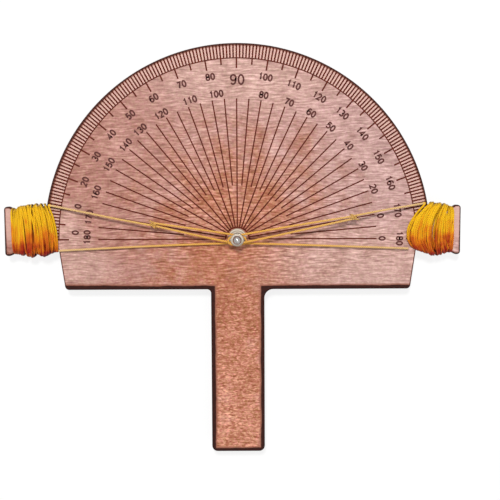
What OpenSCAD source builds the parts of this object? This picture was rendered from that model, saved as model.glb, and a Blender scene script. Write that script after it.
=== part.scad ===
// Adjustable protractor: an engraved plywood dial with a handle, two ears wound with cord,
// and cords that are noosed round a centre pin and swing over the scale.
// Millimetres. Origin on the dial face at the centre pin, +X right, +Y to the 90 mark, +Z out of the face.

/* [Board] */
// Thickness of the plywood
board_t = 6; // [4.5:0.5:9]
// Radius of the semicircular rim
dial_r = 118.5; // [105:0.5:135]
// Depth of the straight base below the pin
base_drop = 31.2; // [26:0.2:40]
// How far the base's bottom corners stand in from the rim
base_inset = 12.2; // [9:0.2:16]
// Lean of the base's ends, in degrees
side_lean = 8.2; // [2:0.2:12]
// Corner radius of the base in plan
base_corner_r = 2.5; // [2:0.1:5]
// Rounding of the sawn edges
edge_r = 1.2; // [0.6:0.1:1.8]

/* [Handle] */
// Width of the handle
handle_w = 33; // [24:0.5:45]
// Distance from the pin to the handle's end
handle_reach = 133.5; // [100:0.5:160]
// Corner radius at the handle's end
handle_corner_r = 3.5; // [2:0.1:8]
// Radius where the handle meets the base, left side
left_fillet_r = 2.4; // [2:0.1:8]
// Radius where the handle meets the base, right side
right_fillet_r = 5.5; // [2:0.1:8]

/* [Winding ears] */
// Distance from the pin to the left ear's end
left_reach = 143; // [138:0.5:155]
// Distance from the pin to the right ear's end
right_reach = 137; // [132:0.5:150]
// Height of the ears' middle above the pin
ear_y = 5.2; // [3:0.2:8]
// Width of the neck that the cord is wound on
neck_w = 24; // [20:0.5:26]
// Width of the flared end
flange_w = 30.4; // [28:0.2:36]
// Length of the flared end
flange_t = 4.5; // [3.5:0.1:7]
// Length of the slope from the flared end to the neck
flare_len = 4; // [2:0.2:6]
// Corner radius of the flared end in plan
ear_corner_r = 2; // [1.9:0.1:3]

/* [Dial engraving] */
// Depth of the engraved lines
engrave_d = 0.3; // [0.1:0.05:0.8]
// Width of the radial lines
line_w = 0.8; // [0.3:0.05:0.9]
// Width of the degree marks
mark_w = 0.95; // [0.4:0.05:1.2]
// Width of the arc that bounds the marks
ring_arc_w = 0.7; // [0.3:0.05:0.9]
// Width of the small arc round the pin
hub_arc_w = 0.9; // [0.3:0.05:1.2]
// Width of the band of one-degree marks
scale_band = 9; // [6:0.5:12]
// How far the five-degree marks run inside the band
five_len = 3.8; // [1.5:0.1:4]
// How far the ten-degree marks run inside the band
ten_len = 6.1; // [4.1:0.1:7]
// Width of the ring left for the figures, measured from the band
figure_band = 24.1; // [18:0.1:28]
// Inner end of the odd five-degree lines
odd_line_r = 32.8; // [20:0.2:50]
// Radius of the small arc round the pin, where the ten-degree lines end
hub_arc_r = 7.2; // [6.5:0.1:12]

/* [Centre pin] */
// Shank diameter of the screw
screw_d = 3; // [2.5:0.1:3.6]
// Length of the screw under its head
screw_len = 18; // [17:0.5:19]
// Diameter of the screw's head
head_d = 6; // [5:0.1:7]
// Height of the screw's head
head_h = 2.2; // [1.6:0.1:3]
// Width of the screwdriver slot
slot_w = 0.8; // [0.5:0.1:1.2]
// Depth of the screwdriver slot
slot_d = 1; // [0.5:0.1:1.3]
// Diameter of the rear washer
rear_washer_d = 9; // [7:0.1:11]
// Thickness of the rear washer
rear_washer_t = 0.8; // [0.5:0.1:1.2]
// Diameter of the washer on the dial face
base_washer_d = 11; // [9:0.1:12]
// Hole of the washer on the dial face, too wide for the screw
base_washer_hole = 5.3; // [3.8:0.1:5.5]
// Thickness of the washer on the dial face
base_washer_t = 1; // [0.5:0.1:1.2]
// Diameter of the washer under the nut
nut_washer_d = 8; // [6.4:0.1:9]
// Thickness of the washer under the nut
nut_washer_t = 0.5; // [0.4:0.1:1]
// Width of the domed nut across its flats
nut_af = 5.5; // [5:0.1:6]
// Height of the domed nut
nut_h = 6; // [5.5:0.1:7]
// Height of the nut's six-sided part
nut_hex_h = 2.4; // [2:0.1:3]
// Radial clearance of the screw in the board and the washers
shank_fit = 0.1; // [0.05:0.01:0.15]
// Radial clearance of the screw in the nut
nut_fit = 0.05; // [0.02:0.01:0.09]
// How much narrower the dome is than the nut's flats, on each side
dome_inset = 0.15; // [0.1:0.05:0.5]

/* [Cords] */
// Diameter of the cord
cord_d = 1.3; // [1:0.05:1.4]
// Clearance between cords, and from a cord to what it passes
cord_gap = 0.2; // [0.1:0.01:0.3]
// Resting direction of the left cord from the pin, in degrees
left_rest = 169.5; // [168:0.1:170.5]
// Resting direction of the right cord from the pin, in degrees
right_rest = 10.7; // [9.5:0.1:12]
// Length of a knot
knot_len = 4.6; // [4:0.1:6]
// Diameter of a knot
knot_d = 3.4; // [3:0.1:3.6]

/* [Windings] */
// How far a winding stands proud of the board's faces
wind_proud = 5; // [3:0.1:7]
// How far a winding stands above the neck
wind_above = 5.1; // [4:0.1:7]
// How far a winding stands below the neck
wind_below = 4.6; // [4:0.1:7]
// How much less it stands out beside the flared end
wind_shoulder = 1.8; // [0.5:0.1:3]
// Distance from the flared end to where the winding is full
wind_crown = 8; // [5:0.5:12]
// How far the left winding lies over the dial
left_overlap = 8; // [5:0.1:10]
// How far the right winding lies over the dial
right_overlap = 13; // [8:0.1:14]
// Clearance between a winding and the wood inside it
wind_gap = 0.3; // [0.2:0.05:0.5]
// Rounding of the windings
wind_round = 4; // [3:0.1:4.2]

/* [Hidden] */
$fn = 96;

eps = 0.01;

// Board
ring_r = dial_r - scale_band;
line_outer_r = ring_r - figure_band;
mark_outer_r = dial_r + 1;
base_half = dial_r - base_inset;
neck_low = ear_y - neck_w / 2;
neck_high = ear_y + neck_w / 2;
rim_root = sqrt(dial_r * dial_r - neck_high * neck_high);
base_root = base_half + (base_drop + neck_low) * tan(side_lean);
buried = 12;

// Levels of the stack on the pin, from the dial face up
round_turn_z = base_washer_t + cord_gap + cord_d / 2;
cord_step = cord_d + cord_gap;
left_z = round_turn_z + 2 * cord_step;
right_z = left_z + cord_step;
nut_washer_z = right_z + cord_d / 2 + cord_gap;
nut_z = nut_washer_z + nut_washer_t;
head_z = -board_t - rear_washer_t;
screw_top = head_z + screw_len;
dome_r = nut_af / 2 - dome_inset;
base_washer_y = base_washer_hole / 2 - screw_d / 2;

// Route of a swinging cord in its own frame: the distance from the pin, the distance to the
// left of its line and the drop below its level at the pin
left_route = [
    [116.6, 0, -2.4], [96, 0.3, -1.4], [75, 0.7, -0.4], [58, 0.8, 0], [49, 0.8, 0], [34, 1.5, 0],
    [18, 2.1, 0], [6, 2.4, 0], [0, 2.5, 0], [-2.8, 2.4, 0], [-4.6, 1.6, 0], [-5.4, 0, 0],
    [-4.6, -1.6, 0], [-2.8, -2.4, 0], [0, -2.5, 0], [6, -2.4, 0], [18, -2.1, 0], [34, -1.5, 0],
    [52, -0.8, 0]
];
right_route = [
    [116.4, 0, -3.9], [104, 0.3, -2.7], [90, 0.7, -1.3], [78, 0.8, 0], [69, 0.8, 0], [46, 1.5, 0],
    [22, 2.1, 0], [6, 2.4, 0], [0, 2.5, 0], [-2.8, 2.4, 0], [-4.8, 1.6, 0], [-5.6, 0, 0],
    [-4.8, -1.6, 0], [-2.8, -2.4, 0], [0, -2.5, 0], [6, -2.4, 0], [22, -2.1, 0], [46, -1.5, 0],
    [72, -0.8, 0]
];
left_knot_r = 52;
right_knot_r = 72;

// A knot's barrel narrows by this much at its ends
knot_taper = 0.5;
knot_curve_r = (knot_len * knot_len / 4 + knot_taper * knot_taper) / (2 * knot_taper);

// Route of the lower cord: along the base line, once round the pin and on to the other ear,
// its height measured from where it first touches the pin
lower_route = [
    [-109.4, -6.6, 0.2], [-80, -5.2, 0.1], [-40, -3.5, 0], [-8, -2.5, 0], [-2, -2.4, 0],
    [0, -2.4, 0.05], [1.7, -1.7, 0.2], [2.4, 0, 0.35], [1.7, 1.7, 0.55], [0, 2.4, 0.75],
    [-1.7, 1.7, 0.95], [-2.4, 0, 1.15], [-1.7, -1.7, 1.35], [0, -2.4, 1.45], [2, -2.45, 1.5],
    [8, -2.5, 1.45], [40, -3.6, 1.1], [80, -5.1, 0.4], [104.6, -6.1, 0.2]
];

function unit(v) = v / norm(v);
function heading(path, i) =
    unit(path[min(i + 1, len(path) - 1)] - path[max(i - 1, 0)]);
function ring(centre, ahead, r, sides) =
    let (across = unit(cross([0, 0, 1], ahead)), up = cross(ahead, across))
    [for (k = [0:sides - 1])
        let (a = 360 * k / sides)
        centre + r * (cos(a) * across + sin(a) * up)];

// A cord: one closed tube along a list of points
module tube(path, d, sides = 8) {
    n = len(path);
    points = [for (i = [0:n - 1]) each ring(path[i], heading(path, i), d / 2, sides)];
    walls = [for (i = [0:n - 2], k = [0:sides - 1])
        let (m = (k + 1) % sides)
        [i * sides + k, i * sides + m, (i + 1) * sides + m, (i + 1) * sides + k]];
    start_cap = [[for (k = [sides - 1:-1:0]) k]];
    end_cap = [[for (k = [0:sides - 1]) (n - 1) * sides + k]];
    polyhedron(points, concat(start_cap, walls, end_cap), convexity = 10);
}

// Section of the sheet at its edge: x runs out to the edge, y runs down from the face
module edge_section(reach) {
    translate([0, -board_t + edge_r]) square([reach, board_t - 2 * edge_r]);
    translate([0, -board_t]) square([reach - edge_r, board_t]);
    for (y = [-edge_r, -board_t + edge_r])
        translate([reach - edge_r, y]) circle(edge_r, $fn = 24);
}

// A round piece of the sheet with its edge rounded
module puck(r) {
    rotate_extrude($fn = 32)
        intersection() {
            edge_section(r);
            translate([0, -board_t]) square([r, board_t]);
        }
}

// A convex panel of the sheet with rounded corners in plan and rounded edges
module panel(corners, r) {
    hull()
        for (c = corners) translate([c.x, c.y, 0]) puck(r);
}

module dial_blank() {
    rotate_extrude(angle = 180, $fn = 360) edge_section(dial_r);
}

module base_blank() {
    r = base_corner_r;
    lean = tan(side_lean);
    bottom_x = base_half - r / cos(side_lean) + r * lean;
    top_x = bottom_x + (base_drop + buried - r) * lean;
    panel([
        [-bottom_x, r - base_drop], [bottom_x, r - base_drop],
        [top_x, buried], [-top_x, buried]
    ], r);
}

module handle_blank() {
    r = handle_corner_r;
    x = handle_w / 2 - r;
    panel([
        [-x, r - handle_reach], [x, r - handle_reach],
        [x, buried - base_drop], [-x, buried - base_drop]
    ], r);
}

// Inside corner between the handle and the base, side is -1 on the left
module handle_fillet(side, r) {
    translate([side * (handle_w / 2 + r), -base_drop - r, 0])
        rotate([0, 0, side > 0 ? 90 : 0])
            rotate_extrude(angle = 90)
                difference() {
                    translate([r, -board_t]) square([r + 1, board_t]);
                    for (y = [0, -board_t])
                        difference() {
                            translate([r - eps, y - edge_r]) square([edge_r + eps, 2 * edge_r]);
                            translate([r + edge_r, y == 0 ? -edge_r : edge_r - board_t])
                                circle(edge_r);
                        }
                }
}

module neck_blank(reach) {
    inner = dial_r - base_inset - buried;
    translate([inner, 0, 0])
        rotate([90, 0, 90])
            linear_extrude(reach - flange_t - inner)
                translate([neck_low, 0]) {
                    translate([edge_r, -board_t]) square([neck_w - 2 * edge_r, board_t]);
                    translate([0, edge_r - board_t]) square([neck_w, board_t - 2 * edge_r]);
                    for (x = [edge_r, neck_w - edge_r], y = [-edge_r, edge_r - board_t])
                        translate([x, y]) circle(edge_r);
                }
}

module flange_blank(reach) {
    r = ear_corner_r;
    outer = reach - r;
    inner = reach - flange_t + r;
    half = flange_w / 2 - r;
    root = reach - flange_t - flare_len;
    root_half = neck_w / 2 - r;
    panel([
        [outer, ear_y + half], [outer, ear_y - half],
        [inner, ear_y + half], [inner, ear_y - half],
        [root, ear_y + root_half], [root, ear_y - root_half]
    ], r);
}

module ear_blank(reach) {
    neck_blank(reach);
    flange_blank(reach);
}

module radial_line(angle, r0, r1, w) {
    rotate([0, 0, angle])
        translate([r0, -w / 2, -engrave_d])
            cube([r1 - r0, w, 2 * engrave_d]);
}

module engraved_arc(r, w) {
    translate([0, 0, -engrave_d])
        rotate_extrude(angle = 180)
            translate([r - w / 2, 0]) square([w, 2 * engrave_d]);
}

// Marks that run out over the rounded rim, longer at each fifth and tenth degree
module degree_marks() {
    for (a = [0:180])
        radial_line(
            a,
            a % 10 == 0 ? ring_r - ten_len : a % 5 == 0 ? ring_r - five_len : ring_r,
            mark_outer_r,
            mark_w
        );
}

module radial_lines() {
    for (a = [0:5:180])
        radial_line(a, a % 10 == 0 ? hub_arc_r : odd_line_r, line_outer_r, line_w);
}

module blank() {
    dial_blank();
    base_blank();
    handle_blank();
    handle_fillet(-1, left_fillet_r);
    handle_fillet(1, right_fillet_r);
    ear_blank(right_reach);
    mirror([1, 0, 0]) ear_blank(left_reach);
}

module board() {
    color("#b9765f")
        difference() {
            difference() {
                blank();
                degree_marks();
            }
            translate([0, 0, -board_t - 1])
                cylinder(h = board_t + 2, d = screw_d + 2 * shank_fit);
            radial_lines();
            engraved_arc(ring_r, ring_arc_w);
            engraved_arc(hub_arc_r, hub_arc_w);
        }
}

module washer(d, t, hole = screw_d + 2 * shank_fit) {
    difference() {
        cylinder(h = t, d = d);
        translate([0, 0, -1]) cylinder(h = t + 2, d = hole);
    }
}

module rear_washer() {
    color("silver") translate([0, 0, head_z]) washer(rear_washer_d, rear_washer_t);
}

// Pushed up by the cords until its wide hole is stopped by the screw
module base_washer() {
    color("silver")
        translate([0, base_washer_y - shank_fit, 0])
            washer(base_washer_d, base_washer_t, base_washer_hole);
}

module nut_washer() {
    color("silver") translate([0, 0, nut_washer_z]) washer(nut_washer_d, nut_washer_t);
}

// Pan head behind the board, its edge rounded and its face slotted
module pivot_screw() {
    color("silver") {
        translate([0, 0, head_z])
            difference() {
                rotate([180, 0, 0])
                    rotate_extrude() {
                        square([head_d / 2 - head_h / 2, head_h]);
                        square([head_d / 2, head_h / 2]);
                        translate([head_d / 2 - head_h / 2, head_h / 2]) circle(head_h / 2);
                    }
                translate([-head_d, -slot_w / 2, -head_h - 1])
                    cube([2 * head_d, slot_w, slot_d + 1]);
            }
        translate([0, 0, head_z - eps]) cylinder(h = screw_len + eps, d = screw_d);
    }
}

// Six-sided base, a short neck and a closed dome
module dome_nut() {
    color("#d8d8da")
        translate([0, 0, nut_z])
            difference() {
                union() {
                    cylinder(h = nut_hex_h, d = nut_af / cos(30), $fn = 6);
                    cylinder(h = nut_h - dome_r, r = dome_r);
                    translate([0, 0, nut_h - dome_r]) sphere(dome_r);
                }
                translate([0, 0, -1])
                    cylinder(h = screw_top - nut_z + 1 + nut_fit, d = screw_d + 2 * nut_fit);
            }
}

// Plan of the wood near an ear, grown by a clearance
module wood_plan(reach, grow) {
    intersection() {
        circle(dial_r + grow);
        translate([0, neck_low - grow]) square([dial_r + 2 * grow, dial_r]);
    }
    polygon([
        [0, -base_drop - grow], [base_half + grow, -base_drop - grow],
        [base_root + grow, neck_low], [0, neck_low]
    ]);
    translate([0, neck_low - grow]) square([reach - flange_t, neck_w + 2 * grow]);
    foot = reach - flange_t;
    polygon([
        [foot - flare_len - grow, neck_low - grow], [foot - grow, ear_y - flange_w / 2 - grow],
        [reach, ear_y - flange_w / 2 - grow], [reach, ear_y + flange_w / 2 + grow],
        [foot - grow, ear_y + flange_w / 2 + grow], [foot - flare_len - grow, neck_high + grow]
    ]);
}

// Inner edge of a winding in plan, from v = -1 at its foot to 1 at its top: it bows over the dial
function inner_edge(v, overlap) =
    let (foot = (base_root + rim_root) / 2)
    foot + v * (rim_root - base_root) / 2 - (foot - dial_r + overlap) * (1 - v * v);

// Outer shape of the wound cord: fullest in the middle, leaning over the dial at its inner end
module winding(reach, overlap) {
    r = wind_round;
    outer = reach - flange_t - 2 * wind_gap;
    high = neck_high + wind_above;
    low = neck_low - wind_below;
    half = (high - low) / 2;
    crown = outer - wind_crown;
    past = 1;
    rows = [
        for (v = [-1:0.25:1])
            [inner_edge(v, overlap) + r, low + half + v * (half - r)],
        [crown, high - r], [crown, low + r],
        [outer + past, high - r - wind_shoulder], [outer + past, low + r + wind_shoulder]
    ];
    difference() {
        intersection() {
            hull()
                for (c = rows, z = [wind_proud - r, r - board_t - wind_proud])
                    translate([c.x, c.y, z]) sphere(r, $fn = 24);
            translate([0, -dial_r, -dial_r]) cube([outer, 2 * dial_r, 2 * dial_r]);
        }
        translate([0, 0, -board_t - wind_gap])
            linear_extrude(board_t + 2 * wind_gap) wood_plan(reach, wind_gap);
    }
}

module left_winding() {
    color("#e09a20") mirror([1, 0, 0]) winding(left_reach, left_overlap);
}

module right_winding() {
    color("#e09a20") winding(right_reach, right_overlap);
}

module swinging_cord(route, rest, level) {
    color("#e8b868")
        rotate([0, 0, rest])
            tube([for (p = route) [p.x, p.y, level + p.z]], cord_d);
}

module knot(distance, rest, level) {
    color("#e8b868")
        rotate([0, 0, rest])
            translate([distance - knot_len / 2, 0, level])
                rotate([90, 0, 90])
                    rotate_extrude()
                        intersection() {
                            translate([knot_d / 2 - knot_curve_r, knot_len / 2])
                                circle(knot_curve_r);
                            square([knot_d / 2, knot_len]);
                        }
}

module left_cord() {
    swinging_cord(left_route, left_rest, left_z);
}

module left_knot() {
    knot(left_knot_r, left_rest, left_z);
}

module right_cord() {
    swinging_cord(right_route, right_rest, right_z);
}

module right_knot() {
    knot(right_knot_r, right_rest, right_z);
}

module lower_cord() {
    color("#e8b868") tube([for (p = lower_route) [p.x, p.y, round_turn_z + p.z]], cord_d);
}

board();
pivot_screw();
rear_washer();
base_washer();
nut_washer();
dome_nut();
left_winding();
right_winding();
left_cord();
left_knot();
right_cord();
right_knot();
lower_cord();
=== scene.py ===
import math

import bmesh
import bpy
import numpy as np
from mathutils import Matrix, Vector


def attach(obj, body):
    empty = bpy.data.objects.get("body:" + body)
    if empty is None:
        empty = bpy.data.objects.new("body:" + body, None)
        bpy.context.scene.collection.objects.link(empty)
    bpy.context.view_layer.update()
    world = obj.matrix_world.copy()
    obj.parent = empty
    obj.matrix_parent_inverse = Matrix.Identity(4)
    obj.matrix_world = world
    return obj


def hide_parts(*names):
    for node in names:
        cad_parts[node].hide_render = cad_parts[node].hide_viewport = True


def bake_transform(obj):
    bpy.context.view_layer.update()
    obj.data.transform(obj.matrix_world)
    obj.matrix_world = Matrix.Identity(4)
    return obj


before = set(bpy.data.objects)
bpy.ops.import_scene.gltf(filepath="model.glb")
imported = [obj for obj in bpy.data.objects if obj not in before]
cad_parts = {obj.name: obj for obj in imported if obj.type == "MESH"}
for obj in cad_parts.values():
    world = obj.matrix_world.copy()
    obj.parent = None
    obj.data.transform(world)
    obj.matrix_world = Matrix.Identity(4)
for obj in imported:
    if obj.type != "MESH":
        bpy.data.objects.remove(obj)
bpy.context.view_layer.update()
mm = 0.001


def linear(hexColour):
    parts = [int(hexColour[i:i + 2], 16) / 255 for i in (1, 3, 5)]
    return tuple(
        p / 12.92 if p <= 0.04045 else ((p + 0.055) / 1.055) ** 2.4 for p in parts
    ) + (1.0,)


def addNode(tree, kind, settings=None, inputs=None):
    # settings is an operation's name or a dictionary, inputs a list or a dictionary
    node = tree.nodes.new(kind)
    if isinstance(settings, str):
        settings = {"operation": settings}
    for name, value in (settings or {}).items():
        setattr(node, name, value)
    if isinstance(inputs, list):
        inputs = dict(enumerate(inputs))
    for key, value in (inputs or {}).items():
        if isinstance(value, bpy.types.NodeSocket):
            tree.links.new(value, node.inputs[key])
        else:
            node.inputs[key].default_value = value
    return node.outputs


def startMaterial(name):
    material = bpy.data.materials.new(name)
    material.use_nodes = True
    material.node_tree.nodes.clear()
    return material, material.node_tree


def addPiece(name, mesh):
    piece = bpy.data.objects.new(name, mesh)
    bpy.context.scene.collection.objects.link(piece)
    return piece


def meshOf(name, vertices, edges, faces):
    mesh = bpy.data.meshes.new(name)
    mesh.from_pydata([tuple(v) for v in vertices], edges, faces)
    mesh.update()
    mesh.shade_smooth()
    return mesh


def joinMeshes(name, meshes):
    whole = bmesh.new()
    for mesh in meshes:
        whole.from_mesh(mesh)
    joined = bpy.data.meshes.new(name)
    whole.to_mesh(joined)
    whole.free()
    return joined


def dress(piece, material):
    piece.data.materials.clear()
    piece.data.materials.append(material)


def smoothPath(points, spacing):
    # centripetal curve through the points, then even steps along it
    fineSteps = 40  # in each stretch between two points
    points = np.array(points, float)
    p = np.concatenate([[2 * points[0] - points[1]], points, [2 * points[-1] - points[-2]]])
    fine = []
    for a, b, c, d in zip(p[:-3], p[1:-2], p[2:-1], p[3:]):
        t1 = np.linalg.norm(b - a) ** 0.5
        t2 = t1 + np.linalg.norm(c - b) ** 0.5
        t3 = t2 + np.linalg.norm(d - c) ** 0.5
        t = np.linspace(t1, t2, fineSteps, endpoint=False)[:, None]
        ab = (t1 - t) / t1 * a + t / t1 * b
        bc = (t2 - t) / (t2 - t1) * b + (t - t1) / (t2 - t1) * c
        cd = (t3 - t) / (t3 - t2) * c + (t - t2) / (t3 - t2) * d
        abc = (t2 - t) / t2 * ab + t / t2 * bc
        bcd = (t3 - t) / (t3 - t1) * bc + (t - t1) / (t3 - t1) * cd
        fine.append((t2 - t) / (t2 - t1) * abc + (t - t1) / (t2 - t1) * bcd)
    fine = np.concatenate(fine + [points[-1:]])
    along = distanceAlong(fine)
    steps = np.linspace(0, along[-1], max(2, int(along[-1] / spacing) + 1))
    return np.stack([np.interp(steps, along, fine[:, k]) for k in range(3)], axis=1)


def distanceAlong(path):
    gaps = np.linalg.norm(np.diff(path, axis=0), axis=1)
    return np.concatenate([[0], np.cumsum(gaps)])


def turned(points, degrees, lift):
    # from a swinging cord's own frame to its resting direction and its level
    c, s = math.cos(math.radians(degrees)), math.sin(math.radians(degrees))
    return [(x * c - y * s, x * s + y * c, z + lift) for x, y, z in points]


def writeCordUv(mesh, along, around):
    # u runs along the cord in metres and v round it, with no jump at the seam
    layer = mesh.uv_layers.new(name="cordLay")
    corners = np.zeros(len(mesh.loops), np.int32)
    mesh.loops.foreach_get("vertex_index", corners)
    v = around[corners]
    for polygon in mesh.polygons:
        span = slice(polygon.loop_start, polygon.loop_start + polygon.loop_total)
        if v[span].max() - v[span].min() > 0.5:
            v[span] = np.where(v[span] < 0.5, v[span] + 1, v[span])
    layer.data.foreach_set("uv", np.stack([along[corners], v], axis=1).ravel())


cordLay = {
    "diameter": 1.3,  # mm
    "plies": 3,
    "pitch": 3.6,  # mm of cord for one turn of the plies
    "groove": 0.2,  # share of the radius lost between two plies
    "sides": 18,
    "step": 0.32,  # mm between rings
}


def layCord(name, path, diameter=cordLay["diameter"], closed=False):
    # a laid cord of three plies that turn round each other along the path, in mm
    path = np.array(path, float)
    ahead = np.gradient(path, axis=0)
    if closed:
        ahead = np.roll(path, -1, axis=0) - np.roll(path, 1, axis=0)
    ahead /= np.linalg.norm(ahead, axis=1)[:, None]
    across = np.cross([0, 0, 1], ahead)
    across /= np.linalg.norm(across, axis=1)[:, None]
    up = np.cross(ahead, across)
    along = distanceAlong(path)
    pitch = cordLay["pitch"]
    if closed:
        # whole turns, so that the plies meet where the cord closes
        whole = along[-1] + np.linalg.norm(path[0] - path[-1])
        pitch = whole / max(1, round(whole / pitch))
    sides, plies = cordLay["sides"], cordLay["plies"]
    turn = np.linspace(0, 2 * math.pi, sides, endpoint=False)
    lay = plies / 2 * (turn[None, :] - 2 * math.pi * along[:, None] / pitch)
    r = diameter / 2 * (1 - cordLay["groove"] * (1 - np.abs(np.cos(lay))))
    rings = path[:, None] + r[..., None] * (
        np.cos(turn)[None, :, None] * across[:, None] + np.sin(turn)[None, :, None] * up[:, None]
    )
    n = len(path)
    faces = []
    for i in range(n if closed else n - 1):
        a, b = i * sides, (i + 1) % n * sides
        for k in range(sides):
            m = (k + 1) % sides
            faces.append((a + k, a + m, b + m, b + k))
    if not closed:
        faces.append(tuple(range(sides - 1, -1, -1)))
        faces.append(tuple((n - 1) * sides + k for k in range(sides)))
    mesh = meshOf(name, rings.reshape(-1, 3) * mm, [], faces)
    writeCordUv(mesh, np.repeat(along * mm, sides), np.tile(turn / (2 * math.pi), n))
    return mesh


# camera: nearly straight down, a little from the 90 mark's side
cameraView = {
    "distance": 0.52,  # m
    "width": 307.2 * mm,  # what the picture is wide at the dial's face
    "aim": (7.7 * mm, -6.8 * mm, 0),
    "tilt": -4.8,  # degrees
    "roll": -0.25,
    "sensor": 36,  # mm
    "farthest": 20,  # m
}

cameraData = bpy.data.cameras.new("photoCamera")
cameraData.sensor_width = cameraView["sensor"]
cameraData.lens = cameraView["sensor"] * cameraView["distance"] / cameraView["width"]
cameraData.clip_end = cameraView["farthest"]
camera = addPiece("photoCamera", cameraData)
tilted = Matrix.Rotation(math.radians(cameraView["tilt"]), 4, "X")
rolled = Matrix.Rotation(math.radians(cameraView["roll"]), 4, "Z")
away = tilted @ Vector((0, 0, cameraView["distance"]))
camera.matrix_world = Matrix.Translation(Vector(cameraView["aim"]) + away) @ tilted @ rolled
bpy.context.scene.camera = camera
print("camera placed")


# cords: two that swing, each noosed round the pin, and one from ear to ear
leftCord = {
    "rest": 169.5,  # degrees
    "level": 4.85,  # mm above the dial's face
    "knot": 52,  # mm from the pin
    "route": [
        (116.6, 0, -2.4), (96, 0.3, -1.4), (75, 0.7, -0.4), (58, 0.8, 0), (49, 0.8, 0),
        (34, 1.5, 0), (18, 2.1, 0), (6, 2.4, 0), (0, 2.5, 0), (-2.8, 2.4, 0), (-4.6, 1.6, 0),
        (-5.4, 0, 0), (-4.6, -1.6, 0), (-2.8, -2.4, 0), (0, -2.5, 0), (6, -2.4, 0),
        (18, -2.1, 0), (34, -1.5, 0), (52, -0.8, 0),
    ],
}
rightCord = {
    "rest": 10.7,
    "level": 6.35,
    "knot": 72,
    "route": [
        (116.4, 0, -3.9), (104, 0.3, -2.7), (90, 0.7, -1.3), (78, 0.8, 0), (69, 0.8, 0),
        (46, 1.5, 0), (22, 2.1, 0), (6, 2.4, 0), (0, 2.5, 0), (-2.8, 2.4, 0), (-4.8, 1.6, 0),
        (-5.6, 0, 0), (-4.8, -1.6, 0), (-2.8, -2.4, 0), (0, -2.5, 0), (6, -2.4, 0),
        (22, -2.1, 0), (46, -1.5, 0), (72, -0.8, 0),
    ],
}
lowerCord = {
    "rest": 0,
    "level": 1.85,
    "route": [
        (-109.4, -6.6, 0.2), (-80, -5.2, 0.1), (-40, -3.5, 0), (-8, -2.5, 0), (-2, -2.4, 0),
        (0, -2.4, 0.05), (1.7, -1.7, 0.2), (2.4, 0, 0.35), (1.7, 1.7, 0.55), (0, 2.4, 0.75),
        (-1.7, 1.7, 0.95), (-2.4, 0, 1.15), (-1.7, -1.7, 1.35), (0, -2.4, 1.45),
        (2, -2.45, 1.5), (8, -2.5, 1.45), (40, -3.6, 1.1), (80, -5.1, 0.4), (104.6, -6.1, 0.2),
    ],
}


def runCord(name, cord):
    path = smoothPath(turned(cord["route"], cord["rest"], cord["level"]), cordLay["step"])
    cord["path"] = path * mm
    cord["length"] = float(distanceAlong(path)[-1] * mm)
    return addPiece(name, layCord(name, path))


leftSwing = runCord("leftSwingCord", leftCord)
rightSwing = runCord("rightSwingCord", rightCord)
lowerRun = runCord("lowerCordEarToEar", lowerCord)
print("cords laid:", [round(cord["length"], 4) for cord in (leftCord, rightCord, lowerCord)])


# a tree that sweeps a round section along every chain of edges, for wound cord and loose fibres
sweepInputs = {"Diameter": "Float", "Sides": "Int", "Material": "Material"}


def sweepTree():
    tree = bpy.data.node_groups.new("sweptStrand", "GeometryNodeTree")
    tree.interface.new_socket("Chains", in_out="INPUT", socket_type="NodeSocketGeometry")
    tree.interface.new_socket("Strand", in_out="OUTPUT", socket_type="NodeSocketGeometry")
    for label, kind in sweepInputs.items():
        tree.interface.new_socket(label, in_out="INPUT", socket_type="NodeSocket" + kind)
    given = addNode(tree, "NodeGroupInput")
    chains = addNode(tree, "GeometryNodeMeshToCurve", None, [given["Chains"]])[0]
    runs = addNode(
        tree, "GeometryNodeStoreNamedAttribute", {"data_type": "FLOAT", "domain": "POINT"},
        {"Geometry": chains, "Name": "along",
         "Value": addNode(tree, "GeometryNodeSplineParameter")["Length"]},
    )[0]
    radius = addNode(tree, "ShaderNodeMath", "MULTIPLY", [given["Diameter"], 0.5])[0]
    circle = addNode(
        tree, "GeometryNodeCurvePrimitiveCircle", None,
        {"Resolution": given["Sides"], "Radius": radius},
    )[0]
    section = addNode(
        tree, "GeometryNodeStoreNamedAttribute", {"data_type": "FLOAT", "domain": "POINT"},
        {"Geometry": circle, "Name": "around",
         "Value": addNode(tree, "GeometryNodeSplineParameter")["Factor"]},
    )[0]
    swept = addNode(
        tree, "GeometryNodeCurveToMesh", None,
        {"Curve": runs, "Profile Curve": section, "Fill Caps": True},
    )[0]
    real = addNode(tree, "GeometryNodeRealizeInstances", None, [swept])[0]
    soft = addNode(tree, "GeometryNodeSetShadeSmooth", None, [real])[0]
    dressed = addNode(
        tree, "GeometryNodeSetMaterial", None, {"Geometry": soft, "Material": given["Material"]}
    )[0]
    addNode(tree, "NodeGroupOutput", None, [dressed])
    return tree


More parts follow.
